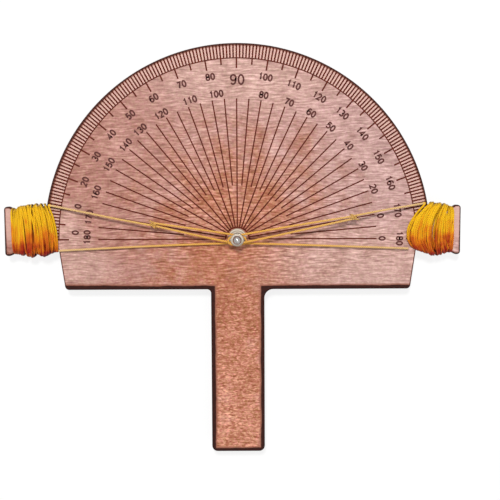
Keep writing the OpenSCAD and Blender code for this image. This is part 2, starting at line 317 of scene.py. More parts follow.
def sweep(name, chains, values):
    # chains are lists of points in mm; the tree's result is kept as a plain mesh
    points, edges = [], []
    for chain in chains:
        first = len(points)
        points += list(np.array(chain) * mm)
        edges += [(first + k, first + k + 1) for k in range(len(chain) - 1)]
    holder = addPiece(name + "Chains", meshOf(name + "Chains", points, edges, []))
    modifier = holder.modifiers.new("sweep", "NODES")
    modifier.node_group = strandSweep
    for item in strandSweep.interface.items_tree:
        if item.in_out == "INPUT" and item.name in values:
            modifier[item.identifier] = values[item.name]
    graph = bpy.context.evaluated_depsgraph_get()
    mesh = bpy.data.meshes.new_from_object(
        holder.evaluated_get(graph), preserve_all_data_layers=True, depsgraph=graph
    )
    holder.modifiers.remove(modifier)
    bpy.data.objects.remove(holder)
    mesh.name = name
    along = np.zeros(len(mesh.vertices), np.float32)
    around = np.zeros(len(mesh.vertices), np.float32)
    mesh.attributes["along"].data.foreach_get("value", along)
    mesh.attributes["around"].data.foreach_get("value", around)
    writeCordUv(mesh, along, around)
    for label in ("along", "around"):
        mesh.attributes.remove(mesh.attributes[label])
    return mesh


strandSweep = sweepTree()


# the board's wood: stained, sanded, engraved and scorched round its outline, with painted sheen on
# the face and painted shade along the lower edges
noiseSpan = (0.3, 0.7)  # nearly all the values of a noise texture lie between these
stainAndSheenLook = {
    "middle": "#ad6d51",
    "left": "#a77466",
    "right": "#b9928b",
    "leftToRight": (-90, 90),  # mm
    "rimward": (88, 105),  # mm from the pin to the full pink of the painted sheen, sideways and upwards
    "pinking": (0.1, 0.95),  # shares of that way, from no pink to all
    "stray": 0.3,  # share of that way by which a blotch can shift it
    "sheenColour": "#be968a",
    "sheenPlaces": [  # mm, middle and reach of each pale patch of painted sheen
        ((-106, 2), (17, 26)), ((-93, -18), (25, 16)), ((5, 98), (66, 26)), ((80, -14), (76, 32)),
    ],
    "sheenFading": (1.15, 0.35, 0, 0.75),  # from a little past the reach to near the middle
    "sanded": "#d0a79a",
    "scaleBand": (109, 110),  # mm from the pin, past which the face was sanded paler
    "bandShare": 0.8,  # how much of its colour shows
    "bandFoot": (-4, 2),  # mm up the board
    "bandDepth": (-1.5, -1),  # mm, so that it stays off the back
}


def stainColour(tree, point, x, y, drift):
    # orange brown round the pin and down the handle; painted sheen turns it paler and pinker
    # towards the rim, most on the right
    sideways, upwards = stainAndSheenLook["rimward"]
    out = addNode(tree, "ShaderNodeMath", "DIVIDE", [x, sideways])[0]
    up = addNode(tree, "ShaderNodeMapRange", None, [y, 0, upwards])[0]
    upSquare = addNode(tree, "ShaderNodeMath", "MULTIPLY", [up, up])[0]
    reach = addNode(tree, "ShaderNodeMath", "MULTIPLY_ADD", [out, out, upSquare])[0]
    reach = addNode(tree, "ShaderNodeMath", "SQRT", [reach])[0]
    reach = addNode(tree, "ShaderNodeMath", "ADD", [reach, drift])[0]
    pale = addNode(
        tree, "ShaderNodeMapRange", {"interpolation_type": "SMOOTHSTEP"},
        [reach, *stainAndSheenLook["pinking"]],
    )[0]
    rightward = addNode(tree, "ShaderNodeMapRange", None, [x, *stainAndSheenLook["leftToRight"]])[0]
    outer = addNode(
        tree, "ShaderNodeMix", {"data_type": "RGBA"},
        {0: rightward, 6: linear(stainAndSheenLook["left"]), 7: linear(stainAndSheenLook["right"])},
    )[2]
    stainAndSheen = addNode(
        tree, "ShaderNodeMix", {"data_type": "RGBA"},
        {0: pale, 6: linear(stainAndSheenLook["middle"]), 7: outer},
    )[2]
    for (px, py), (rx, ry) in stainAndSheenLook["sheenPlaces"]:
        offset = addNode(tree, "ShaderNodeVectorMath", "SUBTRACT", [point, (px, py, 0)])[0]
        spread = addNode(
            tree, "ShaderNodeVectorMath", "MULTIPLY", [offset, (1 / rx, 1 / ry, 0)]
        )[0]
        apart = addNode(tree, "ShaderNodeVectorMath", "LENGTH", [spread])["Value"]
        apart = addNode(tree, "ShaderNodeMath", "ADD", [apart, drift])[0]
        share = addNode(
            tree, "ShaderNodeMapRange", {"interpolation_type": "SMOOTHSTEP"},
            [apart, *stainAndSheenLook["sheenFading"]],
        )[0]
        stainAndSheen = addNode(
            tree, "ShaderNodeMix", {"data_type": "RGBA"},
            {0: share, 6: stainAndSheen, 7: linear(stainAndSheenLook["sheenColour"])},
        )[2]
    return stainAndSheen, pale


def sandedBand(tree, point, y, z):
    # how far the face under the scale was sanded
    flat = addNode(tree, "ShaderNodeVectorMath", "MULTIPLY", [point, (1, 1, 0)])[0]
    radius = addNode(tree, "ShaderNodeVectorMath", "LENGTH", [flat])["Value"]
    sanded = addNode(
        tree, "ShaderNodeMapRange", None,
        [radius, *stainAndSheenLook["scaleBand"], 0, stainAndSheenLook["bandShare"]],
    )[0]
    for height, span in ((y, "bandFoot"), (z, "bandDepth")):
        there = addNode(tree, "ShaderNodeMapRange", None, [height, *stainAndSheenLook[span]])[0]
        sanded = addNode(tree, "ShaderNodeMath", "MULTIPLY", [sanded, there])[0]
    return sanded


grainLook = {
    "line": 0.95,  # mm across one line of grain
    "ripple": 1.05,  # mm from one ripple of the wood's figure to the next
    "drawn": 0.07,  # how slowly the grain changes along its lines
    "drawnDown": 0.3,  # and how slowly through the sheet
    "ripples": ((0.17, 0.3), (0.38, 1)),  # drawn and twisted, on the dial and on the handle
    "curling": (-10, -40),  # mm up the board, from the one kind of ripple to the other
    "bends": 30,  # mm from one bend of the grain to the next
    "bendHeight": 7,  # mm
    "rippleDepth": (1.12, 0.72),  # in the brown stain and in the pink painted sheen
    "ripplePower": 2.3,
    "lineTone": (0.74, 1.26),
    "blotchTone": (0.84, 1.16),
    "handleLighter": (-50, -115),  # mm up the board, over which the handle gets lighter
    "handleLighterTone": 1.2,
    "hues": (0.483, 0.517),  # from rosier to yellower
    "tones": (0.6, 1.4),
    "strength": (1.1, 0.87),  # of the stain, at the darkest and the palest of those tones
}


def woodGrain(tree, point, y):
    # grain along the base line, hardly bent on the dial and curled on the handle
    wave = addNode(
        tree, "ShaderNodeTexNoise", None,
        {"Vector": point, "Scale": 1 / grainLook["bends"], "Detail": 2},
    )["Color"]
    bent = addNode(
        tree, "ShaderNodeVectorMath", "MULTIPLY_ADD",
        [wave, (0, grainLook["bendHeight"], 0), point],
    )[0]
    fine = addNode(
        tree, "ShaderNodeMapping", None,
        {"Vector": bent, "Scale": (grainLook["drawn"], 1, grainLook["drawnDown"])},
    )[0]
    grain = addNode(
        tree, "ShaderNodeTexNoise", None,
        {"Vector": fine, "Scale": 1 / grainLook["line"], "Detail": 3, "Roughness": 0.6},
    )[0]
    ripples = []
    for drawn, twist in grainLook["ripples"]:
        short = addNode(
            tree, "ShaderNodeMapping", None,
            {"Vector": bent, "Scale": (drawn, 1, grainLook["drawnDown"])},
        )[0]
        ripples.append(addNode(
            tree, "ShaderNodeTexNoise", None,
            {"Vector": short, "Scale": 1 / grainLook["ripple"], "Detail": 3, "Distortion": twist},
        )[0])
    curled = addNode(tree, "ShaderNodeMapRange", None, [y, *grainLook["curling"]])[0]
    ripple = addNode(tree, "ShaderNodeMix", None, {0: curled, 2: ripples[0], 3: ripples[1]})[0]
    return grain, ripple


def woodTone(tree, grain, ripple, fleck, blotch, pale, y):
    # how light the stained wood is, 1 on average
    depth = addNode(tree, "ShaderNodeMapRange", None, [pale, 0, 1, *grainLook["rippleDepth"]])[0]
    tone = addNode(tree, "ShaderNodeMapRange", None, [grain, *noiseSpan, *grainLook["lineTone"]])[0]
    rippled = addNode(tree, "ShaderNodeMath", "SUBTRACT", [ripple, 0.5])[0]
    rippled = addNode(tree, "ShaderNodeMath", "MULTIPLY_ADD", [rippled, depth, 1])[0]
    rippled = addNode(tree, "ShaderNodeMath", "POWER", [rippled, grainLook["ripplePower"]])[0]
    speckle = addNode(tree, "ShaderNodeMath", "SUBTRACT", [fleck, 0.5])[0]
    flecked = addNode(tree, "ShaderNodeMath", "MULTIPLY_ADD", [speckle, depth, 1])[0]
    blotched = addNode(
        tree, "ShaderNodeMapRange", None, [blotch, *noiseSpan, *grainLook["blotchTone"]]
    )[0]
    handleLighter = addNode(
        tree, "ShaderNodeMapRange", None, [y, *grainLook["handleLighter"], 1, grainLook["handleLighterTone"]]
    )[0]
    for part in (rippled, flecked, blotched, handleLighter):
        tone = addNode(tree, "ShaderNodeMath", "MULTIPLY", [tone, part])[0]
    return tone


# the outline that the scorching follows, in mm
boardOutline = {
    "dial": 118.5,  # the rim's radius
    "drop": 31.2,  # from the pin down to the base's lower edge
    "half": 106.3,  # from the middle to the base's lower corner
    "lean": 0.144,  # how far the base's ends lean out for each mm up
    "shoulder": 12,  # from the pin up to where the base's ends stop
    "handle": 16.5,  # half its width
    "handleEnd": 133.5,  # from the pin down
    "uneven": -0.2,  # the dark edge band is wider on the left of the handle
    "ears": 140, "earsDiffer": 3,  # the left tip is this much further out, the right one less
    "earMiddle": 5.2,
    "neck": 12, "flare": 15.2,  # half the ear's height at its neck and at its tip
    "flareFrom": 8.5, "flareTo": 4.5,  # in from the tip
    "halfSheet": 3,
}
scorchLook = {
    "width": (0.85, 1.55),  # mm in from the outline, on the dial and below it, the wider band below being partly painted shade
    "shadeWidening": (8, -24),  # mm up the board, from the one width to the other, as painted shade widens the band downwards
    "ragged": (0.85, 1.15),  # narrowest and widest, as shares of that width
    "leftward": (-60, -105),  # mm, over which it widens to the left
    "leftWidth": 1.3,
    "ears": (118, 128),  # mm from the middle, where the ears begin
    "earWidth": 0.6,
    "edge": (1.75, 1.35),  # widths in from the outline, from clean wood to scorched
    "rim": (8, -10),  # mm up the board, over which painted shade darkens it
    "rimLitShare": 0.8,
    "halo": "#8a5644",  # on the face beside the scorched edge
    "haloEdge": (2.6, 1.5),  # widths in from the outline
    "earHalo": 0.5,
    "engraved": "#561a09",
    "charred": "#2a0c05",
    "glue": "#3d2016",
    "cut": (0.01, 0.12),  # mm below the face, from untouched to burnt
    "char": (0.32, 0.8),  # mm below the face, from burnt to charred
    "ply": 1.2,  # mm
    "glueLine": (0.05, 0.22),  # mm from the joint between two plies
    "glueShows": (0.2, 0.6),  # mm below the face
    "soot": (0.65, 1.5),  # how light the burnt wood is, from sooty to bare
}


def insideOutline(tree, x, y, form):
    # how far in from the nearest sawn edge a point of the face is, in mm
    across = addNode(tree, "ShaderNodeMath", "ABSOLUTE", [x])[0]
    square = addNode(tree, "ShaderNodeMath", "MULTIPLY", [x, x])[0]
    square = addNode(tree, "ShaderNodeMath", "MULTIPLY_ADD", [y, y, square])[0]
    radius = addNode(tree, "ShaderNodeMath", "SQRT", [square])[0]
    rim = addNode(tree, "ShaderNodeMath", "SUBTRACT", [form["dial"], radius])[0]
    above = addNode(tree, "ShaderNodeMath", "ADD", [y, form["drop"]])[0]
    corner = addNode(tree, "ShaderNodeMath", "MULTIPLY_ADD", [above, form["lean"], form["half"]])[0]
    end = addNode(tree, "ShaderNodeMath", "SUBTRACT", [corner, across])[0]
    below = addNode(tree, "ShaderNodeMath", "SUBTRACT", [form["shoulder"], y])[0]
    shifted = addNode(tree, "ShaderNodeMath", "ADD", [x, form["uneven"]])[0]
    offAxis = addNode(tree, "ShaderNodeMath", "ABSOLUTE", [shifted])[0]
    side = addNode(tree, "ShaderNodeMath", "SUBTRACT", [form["handle"], offAxis])[0]
    foot = addNode(tree, "ShaderNodeMath", "ADD", [y, form["handleEnd"]])[0]
    top = addNode(tree, "ShaderNodeMath", "MULTIPLY", [y, -1])[0]
    which = addNode(tree, "ShaderNodeMath", "SIGN", [x])[0]
    reach = addNode(
        tree, "ShaderNodeMath", "MULTIPLY_ADD", [which, -form["earsDiffer"], form["ears"]]
    )[0]
    tip = addNode(tree, "ShaderNodeMath", "SUBTRACT", [reach, across])[0]
    wide = addNode(
        tree, "ShaderNodeMapRange", None,
        [tip, form["flareFrom"], form["flareTo"], form["neck"], form["flare"]],
    )[0]
    centred = addNode(tree, "ShaderNodeMath", "SUBTRACT", [y, form["earMiddle"]])[0]
    offEar = addNode(tree, "ShaderNodeMath", "ABSOLUTE", [centred])[0]
    flank = addNode(tree, "ShaderNodeMath", "SUBTRACT", [wide, offEar])[0]
    # within a part the nearest edge counts, and where parts join the deepest of them
    depths = []
    for edges in ([rim, above], [end, above, below], [side, foot, top], [flank, tip]):
        nearest = edges[0]
        for edge in edges[1:]:
            nearest = addNode(tree, "ShaderNodeMath", "MINIMUM", [nearest, edge])[0]
        depths.append(nearest)
    deepest = depths[0]
    for depth in depths[1:]:
        deepest = addNode(tree, "ShaderNodeMath", "MAXIMUM", [deepest, depth])[0]
    return deepest


def scorchedFace(tree, x, y, blotch):
    # the laser's heat stained the face beside the outline, and scorched it at the very edge; below
    # the dial the scorched band is painted wider and darker, as shade
    edge = insideOutline(tree, x, y, boardOutline)
    across = addNode(tree, "ShaderNodeMath", "ABSOLUTE", [x])[0]
    width = addNode(
        tree, "ShaderNodeMapRange", None, [y, *scorchLook["shadeWidening"], *scorchLook["width"]]
    )[0]
    ragged = addNode(
        tree, "ShaderNodeMapRange", None, [blotch, *noiseSpan, *scorchLook["ragged"]]
    )[0]
    onEar = addNode(
        tree, "ShaderNodeMapRange", None, [across, *scorchLook["ears"], 1, scorchLook["earWidth"]]
    )[0]
    leftward = addNode(
        tree, "ShaderNodeMapRange", None, [x, *scorchLook["leftward"], 1, scorchLook["leftWidth"]]
    )[0]
    for part in (ragged, onEar, leftward):
        width = addNode(tree, "ShaderNodeMath", "MULTIPLY", [width, part])[0]
    share = addNode(tree, "ShaderNodeMath", "DIVIDE", [edge, width])[0]
    halo, scorchAndShade = [
        addNode(
            tree, "ShaderNodeMapRange", {"interpolation_type": "SMOOTHSTEP"},
            [share, *scorchLook[span]],
        )[0]
        for span in ("haloEdge", "edge")
    ]
    onBoard = addNode(
        tree, "ShaderNodeMapRange", None, [across, *scorchLook["ears"], 1, scorchLook["earHalo"]]
    )[0]
    halo = addNode(tree, "ShaderNodeMath", "MULTIPLY", [halo, onBoard])[0]
    # painted shade: the scorched band is lighter along the dial, where the light falls, and darkest
    # on the lower edges
    rim = addNode(
        tree, "ShaderNodeMapRange", None, [y, *scorchLook["rim"], scorchLook["rimLitShare"], 1]
    )[0]
    scorchAndShade = addNode(tree, "ShaderNodeMath", "MULTIPLY", [scorchAndShade, rim])[0]
    return halo, scorchAndShade


def burntColour(tree, z, scorchAndShade, fleck):
    # depth below the nearer face: more in the engraving and most on the sawn edge
    half = boardOutline["halfSheet"]
    fromMiddle = addNode(tree, "ShaderNodeMath", "ADD", [z, half])[0]
    fromMiddle = addNode(tree, "ShaderNodeMath", "ABSOLUTE", [fromMiddle])[0]
    depth = addNode(tree, "ShaderNodeMath", "SUBTRACT", [half, fromMiddle])[0]
    cut = addNode(
        tree, "ShaderNodeMapRange", {"interpolation_type": "SMOOTHSTEP"},
        [depth, *scorchLook["cut"]],
    )[0]
    deep = addNode(tree, "ShaderNodeMapRange", None, [depth, *scorchLook["char"]])[0]
    burn = addNode(tree, "ShaderNodeMath", "MAXIMUM", [cut, scorchAndShade])[0]
    char = addNode(tree, "ShaderNodeMath", "MAXIMUM", [deep, scorchAndShade])[0]
    layer = addNode(tree, "ShaderNodeMath", "PINGPONG", [z, scorchLook["ply"] / 2])[0]
    joint = addNode(tree, "ShaderNodeMapRange", None, [layer, *scorchLook["glueLine"], 1, 0])[0]
    inside = addNode(tree, "ShaderNodeMapRange", None, [depth, *scorchLook["glueShows"]])[0]
    joint = addNode(tree, "ShaderNodeMath", "MULTIPLY", [joint, inside])[0]
    ply = addNode(
        tree, "ShaderNodeMix", {"data_type": "RGBA"},
        {0: joint, 6: linear(scorchLook["charred"]), 7: linear(scorchLook["glue"])},
    )[2]
    dark = addNode(
        tree, "ShaderNodeMix", {"data_type": "RGBA"},
        {0: char, 6: linear(scorchLook["engraved"]), 7: ply},
    )[2]
    sooty = addNode(tree, "ShaderNodeMapRange", None, [fleck, *noiseSpan, *scorchLook["soot"]])[0]
    dark = addNode(tree, "ShaderNodeHueSaturation", None, {"Value": sooty, "Color": dark})[0]
    return dark, burn


plywoodLook = {
    "blotch": 17,  # mm
    "fleck": 1.7,  # mm
    "roughness": (0.42, 0.58),
    "burntRougher": 0.28,
    "relief": (0.6, 0.1),  # of the grain, on the stained face and on the sanded band
    "reliefHeight": 0.05,  # mm
    "specular": 0.2,
}


def stainedPlywood(look):
    # birch plywood, water-stained and sanded: satin, with rippled grain, blotches where the stain
    # sank in, painted sheen in pale pink patches and towards the rim, and a laser's scorching in
    # the engraving and round the sawn edge, painted darker and wider along the lower edges as shade
    material, tree = startMaterial("stainedBirchPlywood")
    place = addNode(tree, "ShaderNodeTexCoord")["Object"]
    point = addNode(tree, "ShaderNodeVectorMath", "SCALE", {0: place, "Scale": 1 / mm})[0]
    x, y, z = addNode(tree, "ShaderNodeSeparateXYZ", None, [point])
    blotch, fleck = [
        addNode(
            tree, "ShaderNodeTexNoise", None,
            {"Vector": point, "Scale": 1 / look[size], "Detail": 4, "Roughness": 0.6},
        )
        for size in ("blotch", "fleck")
    ]
    stray = stainAndSheenLook["stray"]
    drift = addNode(tree, "ShaderNodeMapRange", None, [blotch[0], *noiseSpan, -stray, stray])[0]
    stainAndSheen, pale = stainColour(tree, point, x, y, drift)
    sanded = sandedBand(tree, point, y, z)
    stainAndSheen = addNode(
        tree, "ShaderNodeMix", {"data_type": "RGBA"},
        {0: sanded, 6: stainAndSheen, 7: linear(stainAndSheenLook["sanded"])},
    )[2]
    grain, ripple = woodGrain(tree, point, y)
    tone = woodTone(tree, grain, ripple, fleck[0], blotch[0], pale, y)
    tone = addNode(tree, "ShaderNodeMix", None, {0: sanded, 2: tone, 3: 1})[0]
    # rosier and yellower by turns, where heartwood and sapwood took the stain
    _, _, tint = addNode(tree, "ShaderNodeSeparateColor", None, [fleck["Color"]])
    hue = addNode(tree, "ShaderNodeMapRange", None, [tint, *noiseSpan, *grainLook["hues"]])[0]
    # the stain is stronger where the grain is open and dark, weaker where it is hard and pale
    strength = addNode(
        tree, "ShaderNodeMapRange", None, [tone, *grainLook["tones"], *grainLook["strength"]]
    )[0]
    wood = addNode(
        tree, "ShaderNodeHueSaturation", None,
        {"Hue": hue, "Saturation": strength, "Value": tone, "Color": stainAndSheen},
    )[0]
    halo, scorchAndShade = scorchedFace(tree, x, y, blotch[0])
    wood = addNode(
        tree, "ShaderNodeMix", {"data_type": "RGBA"},
        {0: halo, 6: wood, 7: linear(scorchLook["halo"])},
    )[2]
    dark, burn = burntColour(tree, z, scorchAndShade, fleck[0])
    colour = addNode(
        tree, "ShaderNodeMix", {"data_type": "RGBA"}, {0: burn, 6: wood, 7: dark}
    )[2]
    satin = addNode(tree, "ShaderNodeMapRange", None, [ripple, *noiseSpan, *look["roughness"]])[0]
    rough = addNode(tree, "ShaderNodeMath", "MULTIPLY_ADD", [burn, look["burntRougher"], satin])[0]
    standing = addNode(
        tree, "ShaderNodeMapRange", None, [sanded, 0, stainAndSheenLook["bandShare"], *look["relief"]]
    )[0]
    relief = addNode(
        tree, "ShaderNodeBump", None,
        {"Strength": standing, "Distance": look["reliefHeight"] * mm, "Height": grain},
    )[0]
    surface = addNode(
        tree, "ShaderNodeBsdfPrincipled", None,
        {"Base Color": colour, "Roughness": rough, "Normal": relief, "IOR": 1.5,
         "Specular IOR Level": look["specular"]},
    )[0]
    addNode(tree, "ShaderNodeOutputMaterial", None, [surface])
    return material


freeCordLook = {
    "name": "strawPolyesterCord",
    "low": "#dba042", "middle": "#dcaa5a", "high": "#d8b27a",
    "run": ("X", 0, 105),  # mm, paler away from the pin
    "from": 0, "to": 0.95,  # shades at the start and at the end of that run
    "drift": 0.25,  # how far the dye strays along the cord
    "patch": 0,  # how far it strays together in strands that lie side by side
    "shadeAtTurns": 1,  # how dark the painted shade is where the cord turns round the ear's edges
}
knottedCordLook = {
    **freeCordLook,
    "name": "pulledPolyesterCord",
    "low": "#b3873a", "middle": "#c4964c", "high": "#d2aa66",
}
woundCordLook = {
    "name": "goldPolyesterCord",
    # the low colour and the run up the ear paint shade: deep red-orange below, yellow on top where
    # the light falls
    "low": "#a31a02", "middle": "#dc7a04", "high": "#e9b408",
    "run": ("Y", -11, 14),
    "from": -0.08, "to": 1.1,
    "drift": 0.7,
    "patch": 0.45,
    "shadeAtTurns": 0.36,
}
polyesterFinish = {
    "driftLength": 32,  # mm of cord
    "patchSize": 6,  # mm
    "stops": (0, 0.45, 0.95),  # shades at which the colour is low, middle and high
    "litRidge": 0.8,  # height of a ply from which it is fully lit
    "lit": (0.5, 1.08),  # painted shade between the plies and painted light on them
    "turns": (1, 5.8),  # mm from the middle of the sheet, from the most painted shade to none
    "relief": 0.8,
    "reliefHeight": 0.12,  # mm
    "roughness": 0.6,
    "specular": 0.2,
    "sheen": 0.05,
    "sheenRoughness": 0.4,
}


def polyesterCord(look):
    # spun polyester, three plies laid together: a soft sheen, no gloss, with painted shade between
    # the plies and painted light on them
    finish = polyesterFinish
    material, tree = startMaterial(look["name"])
    lay = addNode(tree, "ShaderNodeUVMap", {"uv_map": "cordLay"})[0]
    along, around, _ = addNode(tree, "ShaderNodeSeparateXYZ", None, [lay])
    place = addNode(tree, "ShaderNodeTexCoord")["Object"]
    x, y, z = addNode(tree, "ShaderNodeSeparateXYZ", None, [place])
    turns = addNode(tree, "ShaderNodeMath", "DIVIDE", [along, cordLay["pitch"] * mm])[0]
    twist = addNode(tree, "ShaderNodeMath", "SUBTRACT", [around, turns])[0]
    phase = addNode(tree, "ShaderNodeMath", "MULTIPLY", [twist, math.pi * cordLay["plies"]])[0]
    ridge = addNode(tree, "ShaderNodeMath", "COSINE", [phase])[0]
    ridge = addNode(tree, "ShaderNodeMath", "ABSOLUTE", [ridge])[0]
    run = addNode(tree, "ShaderNodeMath", "DIVIDE", [along, finish["driftLength"] * mm])[0]
    drift = addNode(
        tree, "ShaderNodeTexNoise", {"noise_dimensions": "1D"},
        {"W": run, "Scale": 1, "Detail": 5, "Roughness": 0.68},
    )[0]
    # along its run the colour shifts: the free cord's dye pales away from the pin, and on the wound
    # cord painted shade runs from yellow at the lit top to deep red-orange below
    axis, start, end = look["run"]
    apart = addNode(tree, "ShaderNodeMath", "ABSOLUTE", [x])[0]
    shade = addNode(
        tree, "ShaderNodeMapRange", {"clamp": False},
        [apart if axis == "X" else y, start * mm, end * mm, look["from"], look["to"]],
    )[0]
    patch = addNode(
        tree, "ShaderNodeTexNoise", None,
        {"Vector": place, "Scale": 1 / (finish["patchSize"] * mm), "Detail": 1},
    )[0]
    for noise, most in ((drift, look["drift"]), (patch, look["patch"])):
        strayed = addNode(tree, "ShaderNodeMath", "SUBTRACT", [noise, 0.5])[0]
        shade = addNode(tree, "ShaderNodeMath", "MULTIPLY_ADD", [strayed, 2 * most, shade])[0]
    dyeAndShade = linear(look["low"])
    for stop, name in enumerate(("middle", "high")):
        share = addNode(
            tree, "ShaderNodeMapRange", None, [shade, *finish["stops"][stop:stop + 2]]
        )[0]
        dyeAndShade = addNode(
            tree, "ShaderNodeMix", {"data_type": "RGBA"},
            {0: share, 6: dyeAndShade, 7: linear(look[name])},
        )[2]
    lit = addNode(
        tree, "ShaderNodeMapRange", None, [ridge, 0, finish["litRidge"], *finish["lit"]]
    )[0]
    # painted shade where the wound cord turns round the ear's edges, level with the middle of the
    # sheet
    fromMiddle = addNode(tree, "ShaderNodeMath", "ADD", [z, boardOutline["halfSheet"] * mm])[0]
    fromMiddle = addNode(tree, "ShaderNodeMath", "ABSOLUTE", [fromMiddle])[0]
    near, far = finish["turns"]
    turnShade = addNode(
        tree, "ShaderNodeMapRange", None, [fromMiddle, near * mm, far * mm, look["shadeAtTurns"], 1]
    )[0]
    lit = addNode(tree, "ShaderNodeMath", "MULTIPLY", [lit, turnShade])[0]
    colour = addNode(tree, "ShaderNodeHueSaturation", None, {"Value": lit, "Color": dyeAndShade})[0]
    relief = addNode(
        tree, "ShaderNodeBump", None,
        {"Strength": finish["relief"], "Distance": finish["reliefHeight"] * mm, "Height": ridge},
    )[0]
    surface = addNode(
        tree, "ShaderNodeBsdfPrincipled", None,
        {"Base Color": colour, "Roughness": finish["roughness"], "Normal": relief, "IOR": 1.5,
         "Specular IOR Level": finish["specular"], "Sheen Weight": finish["sheen"],
         "Sheen Roughness": finish["sheenRoughness"]},
    )[0]
    addNode(tree, "ShaderNodeOutputMaterial", None, [surface])
    return material


zincLook = {
    "name": "zincPlatedSteel",
    "colour": "#b8ac9c",
    "roughness": 0.42,
    "mark": 0.7,  # mm across a tumbling mark
    "ring": 1.309,  # mm from one turning mark to the next, coarser than real ones so they show
    "dull": 0.5,  # how dark the turning marks are
}
nickelLook = {
    **zincLook,
    "name": "nickelPlatedSteel",
    "colour": "#a5a19e",
    "roughness": 0.22,
    "mark": 0.5,
    "dull": 0.85,
}
platingFinish = {
    "uneven": (-0.06, 0.1),  # of the roughness
    "relief": 0.6,
    "reliefHeight": 0.03,  # mm
    "ringEdge": 0.7,  # value of the ring wave past which the metal is bright
}


def platedSteel(look):
    # plated steel turned and tumbled: a slightly uneven shine, warm from the plating
    material, tree = startMaterial(look["name"])
    place = addNode(tree, "ShaderNodeTexCoord")["Object"]
    blur = addNode(
        tree, "ShaderNodeTexNoise", None,
        {"Vector": place, "Scale": 1 / (look["mark"] * mm), "Detail": 3},
    )[0]
    smoothest, roughest = [look["roughness"] + off for off in platingFinish["uneven"]]
    rough = addNode(
        tree, "ShaderNodeMapRange", None, [blur, *noiseSpan, smoothest, roughest]
    )[0]
    relief = addNode(
        tree, "ShaderNodeBump", None,
        {"Strength": platingFinish["relief"], "Distance": platingFinish["reliefHeight"] * mm,
         "Height": blur},
    )[0]
    # turning marks in rings round the pin: at a scale of 1 the rings lie pi / 10 apart
    rings = addNode(
        tree, "ShaderNodeTexWave", {"wave_type": "RINGS", "rings_direction": "Z"},
        {"Vector": place, "Scale": math.pi / 10 / (look["ring"] * mm), "Distortion": 0.6,
         "Detail": 2, "Detail Scale": 3, "Phase Offset": 1},
    )[1]
    shine = addNode(
        tree, "ShaderNodeMapRange", None, [rings, 0, platingFinish["ringEdge"], look["dull"], 1]
    )[0]
    colour = addNode(
        tree, "ShaderNodeHueSaturation", None, {"Value": shine, "Color": linear(look["colour"])}
    )[0]
    surface = addNode(
        tree, "ShaderNodeBsdfPrincipled", None,
        {"Base Color": colour, "Metallic": 1, "Roughness": rough, "Normal": relief},
    )[0]
    addNode(tree, "ShaderNodeOutputMaterial", None, [surface])
    return material


figureLook = {
    "colour": "#3c1410",
    "light": "#5e2a22",
    "patch": 1.4,  # mm
    "lighter": (0.35, 0.7),  # values of the noise, from none of the lighter colour to all
    "roughness": 0.85,
}


def burntFigure(look):
    # wood scorched by the laser: matt maroon brown, uneven where the grain resisted
    material, tree = startMaterial("laserBurntWood")
    place = addNode(tree, "ShaderNodeTexCoord")["Object"]
    patch = addNode(
        tree, "ShaderNodeTexNoise", None,
        {"Vector": place, "Scale": 1 / (look["patch"] * mm), "Detail": 3},
    )[0]
    share = addNode(tree, "ShaderNodeMapRange", None, [patch, *look["lighter"]])[0]
    colour = addNode(
        tree, "ShaderNodeMix", {"data_type": "RGBA"},
        {0: share, 6: linear(look["colour"]), 7: linear(look["light"])},
    )[2]
    surface = addNode(
        tree, "ShaderNodeBsdfPrincipled", None,
        {"Base Color": colour, "Roughness": look["roughness"]},
    )[0]
    addNode(tree, "ShaderNodeOutputMaterial", None, [surface])
    return material


plywood = stainedPlywood(plywoodLook)
freeCord = polyesterCord(freeCordLook)
knottedCord = polyesterCord(knottedCordLook)
woundCord = polyesterCord(woundCordLook)
zinc = platedSteel(zincLook)
nickel = platedSteel(nickelLook)
burnt = burntFigure(figureLook)
for piece in (leftSwing, rightSwing, lowerRun):
    dress(piece, freeCord)
print("materials made")


# the board and the metal stay as the CAD made them, welded so that round faces shade smoothly
carriedOver = {
    "weld": 0.002,  # mm
    "crease": 32,  # degrees
    "chamfer": 0.08,  # mm, on the screw, the washers and the nut
    "chamferFrom": 50,  # degrees
}

for name in ("board", "pivot_screw", "rear_washer", "base_washer", "nut_washer", "dome_nut"):
    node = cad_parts[name]
    dress(node, {"board": plywood, "dome_nut": nickel}.get(name, zinc))
    node.data.shade_smooth()
    weld = node.modifiers.new("weld", "WELD")
    weld.merge_threshold = carriedOver["weld"] * mm
    if name != "board":
        chamfer = node.modifiers.new("chamfer", "BEVEL")
        chamfer.width = carriedOver["chamfer"] * mm
        chamfer.limit_method = "ANGLE"
        chamfer.angle_limit = math.radians(carriedOver["chamferFrom"])
    crease = node.modifiers.new("crease", "EDGE_SPLIT")
    crease.split_angle = math.radians(carriedOver["crease"])
print("board and metal dressed")


# knots: a pulled-tight overhand round both strands, and two short frayed tails
knotForm = {
    "length": 4.8,  # mm
    "width": 3.4,
    "height": 3.1,
    "cord": 1.15,  # mm, pulled thinner than the free cord
    "tails": [[(0.2, 0.9, 0.3), (-0.7, 1.5, 0.7), (-1.7, 1.9, 0.6)],
              [(0.4, -0.8, 0.2), (1.3, -1.5, 0.5), (2.3, -1.7, 0.3)]],
    "tail": 0.95,
    "loopSteps": 180,
    "tailStep": 0.2,  # mm between rings
    "fibres": 16,
    "fibre": 0.09,  # mm, thicker than a real one so that it shows
    "fibreLength": 1.1,
    "fibreSpread": 0.2,  # mm off the tail's middle, for most fibres
    "fibreBend": 0.45,  # how far most of them bend, as a share of their length
    "fibreSteps": 6,
    "fibreSides": 4,
    "seed": 4,
}


